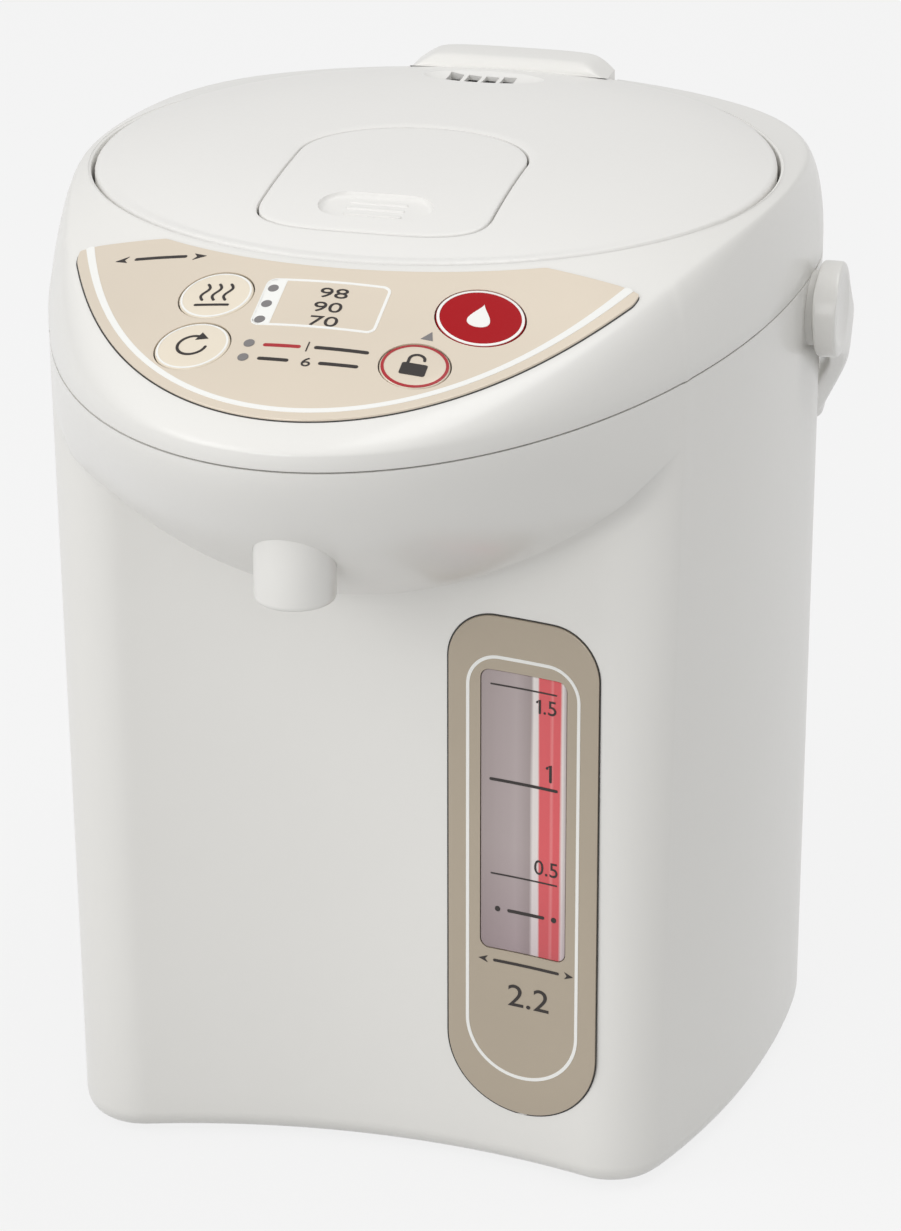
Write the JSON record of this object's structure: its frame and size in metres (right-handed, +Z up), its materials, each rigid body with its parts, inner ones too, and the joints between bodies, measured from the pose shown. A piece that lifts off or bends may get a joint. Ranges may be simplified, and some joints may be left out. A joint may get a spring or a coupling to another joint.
{
  "type": "electric thermo pot",
  "caption": "Free-standing electric hot-water dispensing pot with a hinged lid, an overhanging spout and key panel, a level gauge and a swinging carrying handle.",
  "frame": {"origin": "on the floor under the axis of the round lid and the vessel", "axes": "+Z up, -Y towards the spout and the user, +X to the right of someone who faces the front"},
  "size_m": [0.2158, 0.2885, 0.2648],
  "materials": {
    "body_white": "smooth warm white moulded plastic",
    "base_plastic": "plain moulded plastic",
    "champagne": "pearl champagne printed plastic",
    "key_red": "glossy red plastic",
    "key_pale": "satin plastic",
    "window_clear": "clear acrylic",
    "backing_rose": "matt plastic strip",
    "dark_rubber": "matt rubber",
    "grey_rubber": "silicone rubber",
    "steel": "drawn stainless steel",
    "sheet_metal": "zinc-coated steel sheet",
    "heater_brown": "mica and steel",
    "wrap": "glass fibre felt",
    "inner_plastic": "heat-resistant plastic",
    "dark_plastic": "dark moulded plastic",
    "rotor_metal": "laminated iron",
    "board_green": "printed circuit board",
    "lamp_plastic": "clear lamp lens",
    "pin_brass": "plated brass"
  },
  "bodies": {
    "base": {"body_shell": "body_white", "top_cover": "body_white", "base_plate": "base_plastic", "feet": "dark_rubber", "base_screws": "steel", "chassis": "sheet_metal", "inner_vessel": "steel", "vessel_ring": "inner_plastic", "mesh_filter": "steel", "band_heater": "heater_brown", "heater_plate": "heater_brown", "thermostat": "sheet_metal", "thermal_fuse": "inner_plastic", "insulation_wrap": "wrap", "suction_elbow": "grey_rubber", "pump_chamber": "inner_plastic", "pump_cover": "inner_plastic", "motor_can": "steel", "outlet_pipe": "grey_rubber", "gauge_tube": "window_clear", "tube_seals": "dark_rubber", "gauge_backing": "backing_rose", "riser_elbow": "grey_rubber", "valve_housing": "inner_plastic", "valve_ball": "steel", "spout_pipe": "grey_rubber", "spout_nozzle": "body_white", "gauge_plate": "champagne", "gauge_window": "window_clear", "panel_film": "champagne", "control_board": "board_green", "key_switches": "dark_plastic", "lamps": "lamp_plastic", "power_board": "board_green", "inlet_socket": "base_plastic", "inlet_pins": "pin_brass", "handle_pivots": "steel", "hinge_pin": "steel"},
    "lid": {"lid_cover": "body_white", "plate_spring": "steel", "latch_spring": "steel", "inner_lid": "steel", "lid_gasket": "grey_rubber", "steam_valve": "inner_plastic", "steam_ball": "steel", "hinge_bracket": "steel", "hinge_cover": "body_white"},
    "push_plate": {"push_plate": "body_white"},
    "latch": {"latch_slide": "body_white"},
    "handle": {"handle": "body_white"},
    "key_dispense": {"key_dispense": "key_red"},
    "key_unlock": {"key_unlock": "champagne"},
    "key_keep_warm": {"key_keep_warm": "key_pale"},
    "key_reboil": {"key_reboil": "key_pale"},
    "motor_rotor": {"motor_rotor": "rotor_metal"},
    "impeller": {"impeller": "dark_plastic"}
  },
  "joints": [
    {"name": "lid_hinge", "type": "hinge", "parent": "base", "child": "lid", "pos_m": [0, 0.088, 0.257], "axis": [-1, 0, 0], "range_deg": [0, 82]},
    {"name": "push_plate_hinge", "type": "hinge", "parent": "lid", "child": "push_plate", "pos_m": [0, -0.005, 0.257], "axis": [1, 0, 0], "range_deg": [0, 3.5], "stiffness_Nm_per_rad": 3, "springref_deg": -1.72, "deforming": ["plate_spring"]},
    {"name": "latch_travel", "type": "slide", "parent": "lid", "child": "latch", "axis": [0, 1, 0], "range_m": [0, 0.003], "deforming": ["latch_spring"]},
    {"name": "handle_hinge", "type": "hinge", "parent": "base", "child": "handle", "pos_m": [0, 0.022, 0.216], "axis": [1, 0, 0], "range_deg": [0, 120]},
    {"name": "key_dispense_press", "type": "slide", "parent": "base", "child": "key_dispense", "axis": [-0.1412, 0.3158, -0.9383], "range_m": [0, 0.0008], "stiffness_N_per_m": 800, "springref_m": -0.0005},
    {"name": "key_unlock_press", "type": "slide", "parent": "base", "child": "key_unlock", "axis": [-0.1009, 0.3163, -0.9433], "range_m": [0, 0.0008], "stiffness_N_per_m": 800, "springref_m": -0.0005},
    {"name": "key_keep_warm_press", "type": "slide", "parent": "base", "child": "key_keep_warm", "axis": [0.1059, 0.3187, -0.9419], "range_m": [0, 0.0008], "stiffness_N_per_m": 800, "springref_m": -0.0005},
    {"name": "key_reboil_press", "type": "slide", "parent": "base", "child": "key_reboil", "axis": [0.1041, 0.3161, -0.943], "range_m": [0, 0.0008], "stiffness_N_per_m": 800, "springref_m": -0.0005},
    {"name": "motor_spin", "type": "hinge", "parent": "base", "child": "motor_rotor", "pos_m": [0, -0.024, 0.02], "axis": [0, 0, 1], "continuous": true},
    {"name": "impeller_spin", "type": "hinge", "parent": "base", "child": "impeller", "pos_m": [0, -0.024, 0.03], "axis": [0, 0, 1], "continuous": true}
  ],
  "couplings": [
    {"joint": "latch_travel", "follows": "push_plate_hinge", "m_per_rad": 0.04895},
    {"joint": "impeller_spin", "follows": "motor_spin", "ratio": 1}
  ]
}
